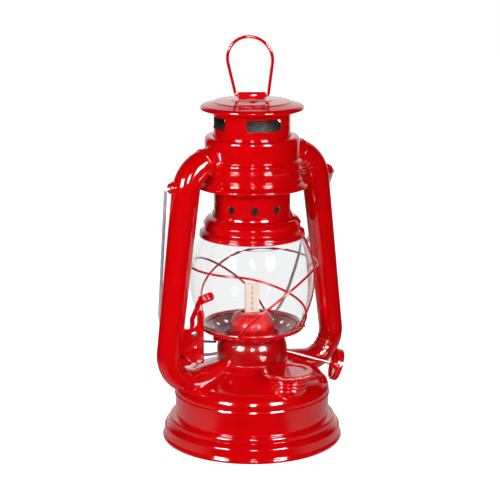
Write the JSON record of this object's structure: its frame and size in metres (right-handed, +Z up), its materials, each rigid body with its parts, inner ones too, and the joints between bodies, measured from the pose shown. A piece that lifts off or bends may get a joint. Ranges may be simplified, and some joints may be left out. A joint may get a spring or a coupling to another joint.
{
  "type": "hurricane lantern",
  "caption": "Hurricane oil lantern: round fuel tank with filler cap and wick winder, side air tubes, lifting glass globe in wire guards, vented chimney with hood, lift loop and wire bail.",
  "frame": {"origin": "centre of the base rim on the floor", "axes": "+Z up along the burner's axis, side tubes along X with the thumb lever at -X, filler cap facing -Y, bail hanging at +Y"},
  "size_m": [0.1382, 0.116, 0.2601],
  "materials": {
    "red_enamel": "glossy red enamel on pressed steel sheet",
    "tin_plate": "bare tin plate",
    "galvanised": "galvanised wire",
    "dark_wire": "dark oiled wire",
    "burner_brass": "plain brass",
    "wick_cotton": "woven cotton tape",
    "cap_rubber": "matt rubber",
    "clear_glass": "clear blown glass"
  },
  "bodies": {
    "frame": {"tank_wall": "red_enamel", "tank_bottom": "red_enamel", "tank_lid": "tin_plate", "tank_dome": "red_enamel", "filler_neck": "red_enamel", "burner_collar": "red_enamel", "burner_drum": "red_enamel", "burner_plate": "burner_brass", "burner_cone": "red_enamel", "wick_tube": "burner_brass", "shaft_bush": "red_enamel", "tube_left": "red_enamel", "tube_right": "red_enamel", "ear_left": "red_enamel", "ear_right": "red_enamel", "lever_bracket": "red_enamel", "bracket_rivets": "red_enamel", "lever_pin": "galvanised", "air_chamber": "red_enamel", "chamber_floor": "tin_plate", "chimney_spring": "galvanised"},
    "globe_carriage": {"globe_plate": "red_enamel", "lift_lug": "red_enamel", "globe": "clear_glass", "guard_wire_left": "red_enamel", "guard_wire_right": "red_enamel"},
    "chimney": {"chimney_tube": "red_enamel", "bell": "red_enamel", "spring_collar": "tin_plate", "hood": "red_enamel", "hood_strap": "red_enamel"},
    "loop": {"lift_loop": "red_enamel"},
    "bail": {"bail": "galvanised"},
    "lever": {"lever": "red_enamel", "lift_wire": "dark_wire"},
    "wick_winder": {"wick_shaft": "red_enamel", "wick_wheels": "burner_brass", "wick_knob": "red_enamel"},
    "wick": {"wick": "wick_cotton"},
    "filler_seal": {"filler_gasket": "cap_rubber"},
    "filler_cap": {"filler_cap": "red_enamel"}
  },
  "joints": [
    {"name": "globe_lift", "type": "slide", "parent": "frame", "child": "globe_carriage", "axis": [0, 0, 1], "range_m": [0, 0.006]},
    {"name": "lever_press", "type": "hinge", "parent": "frame", "child": "lever", "pos_m": [-0.046, 0, 0.076], "axis": [0, -1, 0], "range_deg": [0, 17]},
    {"name": "chimney_lift", "type": "slide", "parent": "globe_carriage", "child": "chimney", "axis": [0, 0, 1], "range_m": [0, 0.011], "stiffness_N_per_m": 300, "springref_m": -0.013, "deforming": ["chimney_spring"]},
    {"name": "loop_fold", "type": "hinge", "parent": "chimney", "child": "loop", "pos_m": [0, 0, 0.2224], "axis": [0.848, -0.5299, 0], "range_deg": [-88, 88]},
    {"name": "bail_swing", "type": "hinge", "parent": "frame", "child": "bail", "pos_m": [0, 0, 0.1695], "axis": [1, 0, 0], "range_deg": [0, 312]},
    {"name": "wick_knob_turn", "type": "hinge", "parent": "frame", "child": "wick_winder", "pos_m": [0.00183, 0.00411, 0.0612], "axis": [0.8713, -0.3879, -0.3007], "range_deg": [-143, 286]},
    {"name": "wick_raise", "type": "slide", "parent": "frame", "child": "wick", "axis": [0, 0, 1], "range_m": [-0.0161, 0.0081]},
    {"name": "filler_cap_rise", "type": "slide", "parent": "frame", "child": "filler_seal", "axis": [0, 0, 1], "range_m": [0, 0.0121]},
    {"name": "filler_cap_turn", "type": "hinge", "parent": "filler_seal", "child": "filler_cap", "pos_m": [0.00175, -0.03996, 0.052], "axis": [0, 0, 1], "range_deg": [0, 1440]}
  ],
  "couplings": [
    {"joint": "lever_press", "follows": "globe_lift", "rad_per_m": 49.45},
    {"joint": "wick_raise", "follows": "wick_knob_turn", "m_per_rad": -0.0032},
    {"joint": "filler_cap_rise", "follows": "filler_cap_turn", "m_per_rad": 0.00047746}
  ]
}
